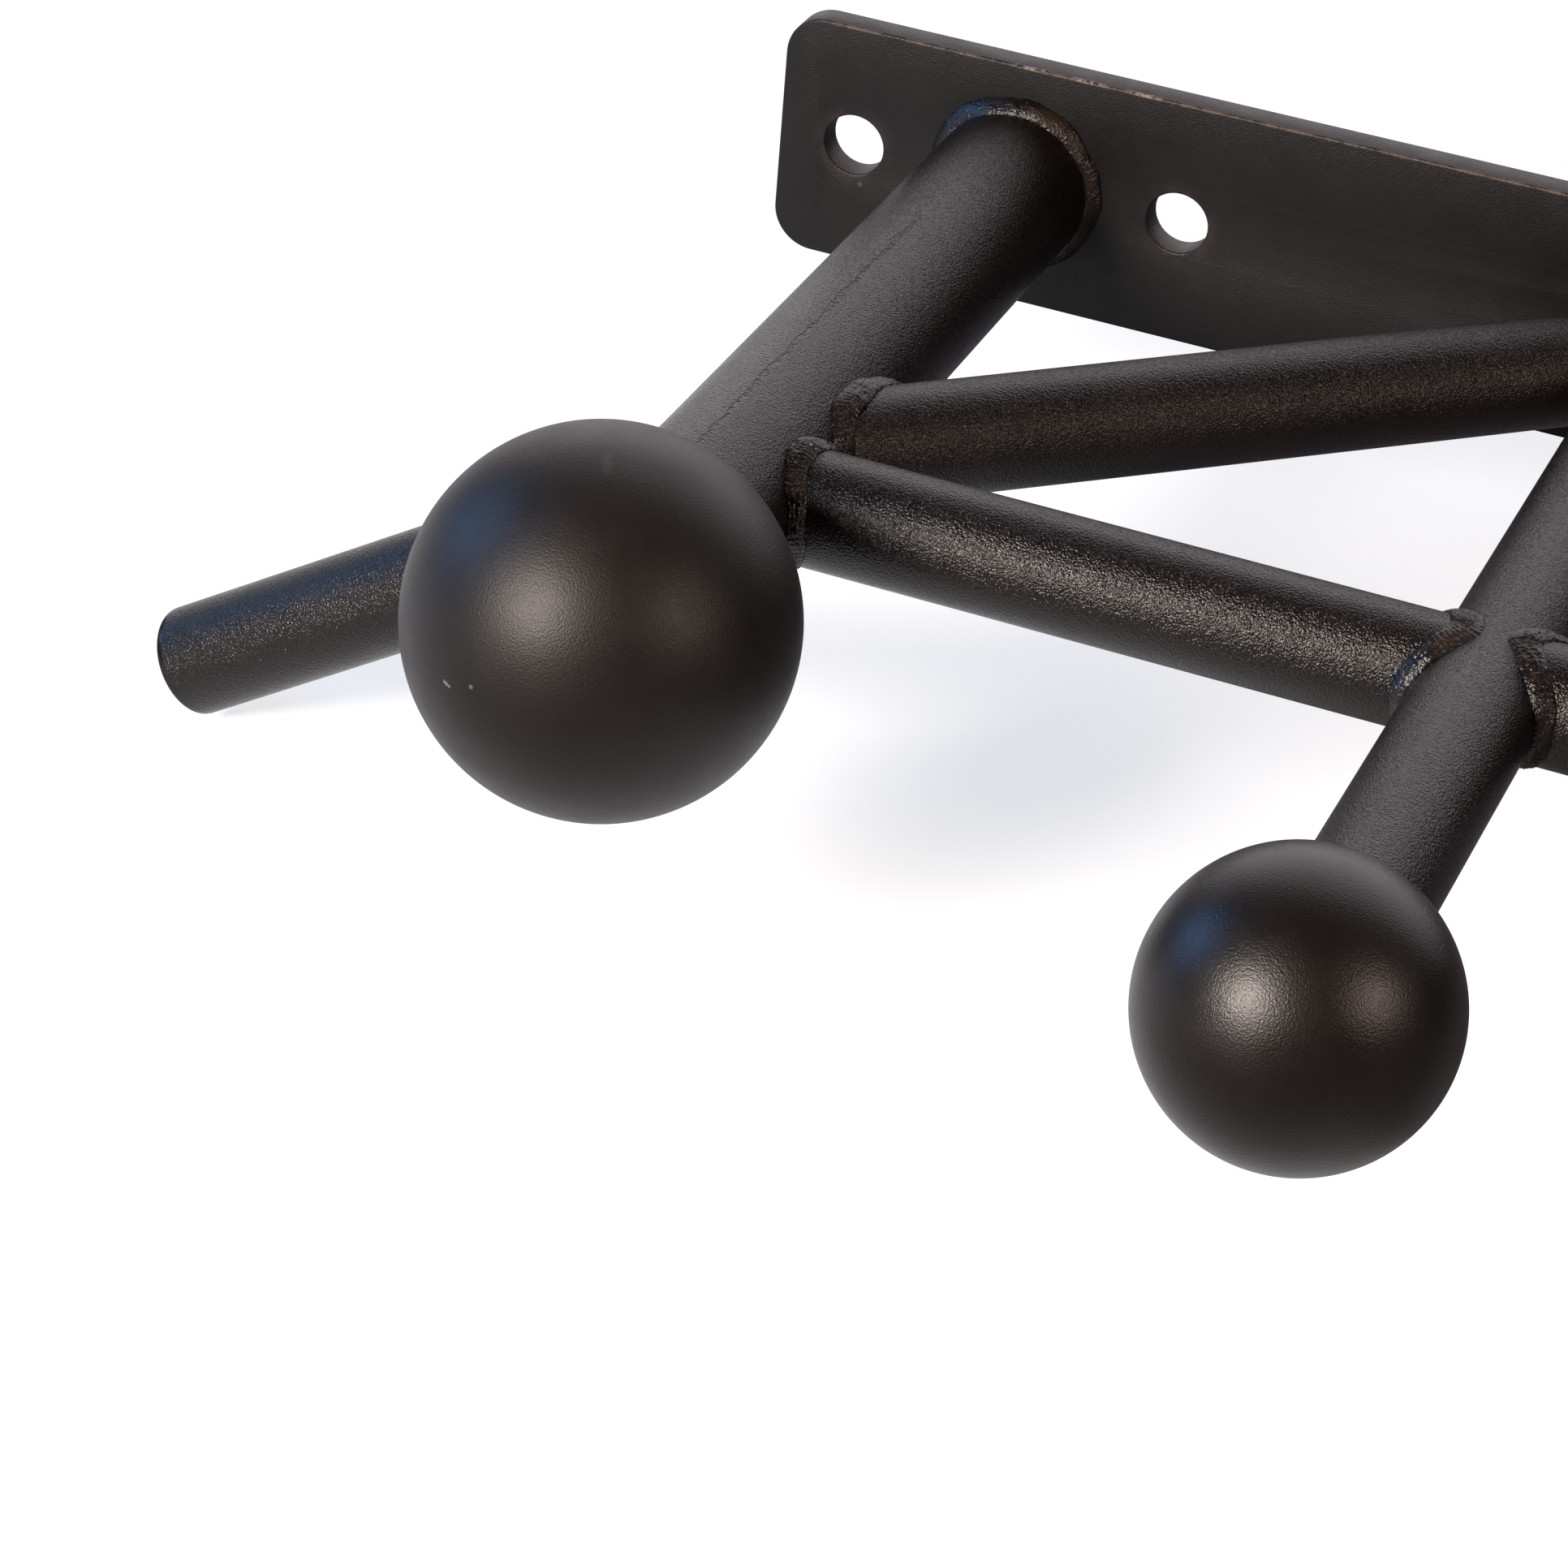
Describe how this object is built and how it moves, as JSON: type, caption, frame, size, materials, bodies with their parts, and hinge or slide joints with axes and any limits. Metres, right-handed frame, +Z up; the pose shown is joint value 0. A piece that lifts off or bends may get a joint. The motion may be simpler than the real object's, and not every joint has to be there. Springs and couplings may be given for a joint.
{
  "type": "wall-mounted pull-up bar",
  "caption": "Welded steel pull-up bar for a wall: drilled plate, round arms ending in ball grips, cross bars, braces and sloping stub grips.",
  "frame": {"origin": "centre of the wall plate's back face, which lies on the wall", "axes": "+X right along the wall, +Y into the wall, +Z up; the bar stands out towards -Y"},
  "size_m": [1.1588, 0.4206, 0.1658],
  "materials": {
    "tube_powder_coat": "black fine-texture powder coat with visible orange peel, semi-matt",
    "plate_powder_coat": "black fine-texture powder coat on flat bar, matt, thin and lighter on its edges",
    "ball_powder_coat": "black powder coat, smoother than on the tubes, semi-matt",
    "weld_powder_coat": "black powder coat over lumpy weld metal",
    "cap_plastic": "black moulded plastic, glossy"
  },
  "bodies": {
    "root": {"centre_cross_bar": "tube_powder_coat", "left_angled_grip": "tube_powder_coat", "left_angled_grip_weld": "weld_powder_coat", "left_brace": "tube_powder_coat", "left_brace_front_weld": "weld_powder_coat", "left_brace_root_weld": "weld_powder_coat", "left_centre_bar_weld": "weld_powder_coat", "left_cross_bar": "tube_powder_coat", "left_cross_bar_inner_weld": "weld_powder_coat", "left_cross_bar_outer_weld": "weld_powder_coat", "left_end_cap": "cap_plastic", "left_inner_arm": "tube_powder_coat", "left_inner_arm_weld": "weld_powder_coat", "left_inner_ball": "ball_powder_coat", "left_inner_ball_weld": "weld_powder_coat", "left_outer_arm": "tube_powder_coat", "left_outer_arm_weld": "weld_powder_coat", "left_outer_ball": "ball_powder_coat", "left_outer_ball_weld": "weld_powder_coat", "right_angled_grip": "tube_powder_coat", "right_angled_grip_weld": "weld_powder_coat", "right_brace": "tube_powder_coat", "right_brace_front_weld": "weld_powder_coat", "right_brace_root_weld": "weld_powder_coat", "right_centre_bar_weld": "weld_powder_coat", "right_cross_bar": "tube_powder_coat", "right_cross_bar_inner_weld": "weld_powder_coat", "right_cross_bar_outer_weld": "weld_powder_coat", "right_end_cap": "cap_plastic", "right_inner_arm": "tube_powder_coat", "right_inner_arm_weld": "weld_powder_coat", "right_inner_ball": "ball_powder_coat", "right_inner_ball_weld": "weld_powder_coat", "right_outer_arm": "tube_powder_coat", "right_outer_arm_weld": "weld_powder_coat", "right_outer_ball": "ball_powder_coat", "right_outer_ball_weld": "weld_powder_coat", "wall_plate": "plate_powder_coat"}
  },
  "joints": []
}
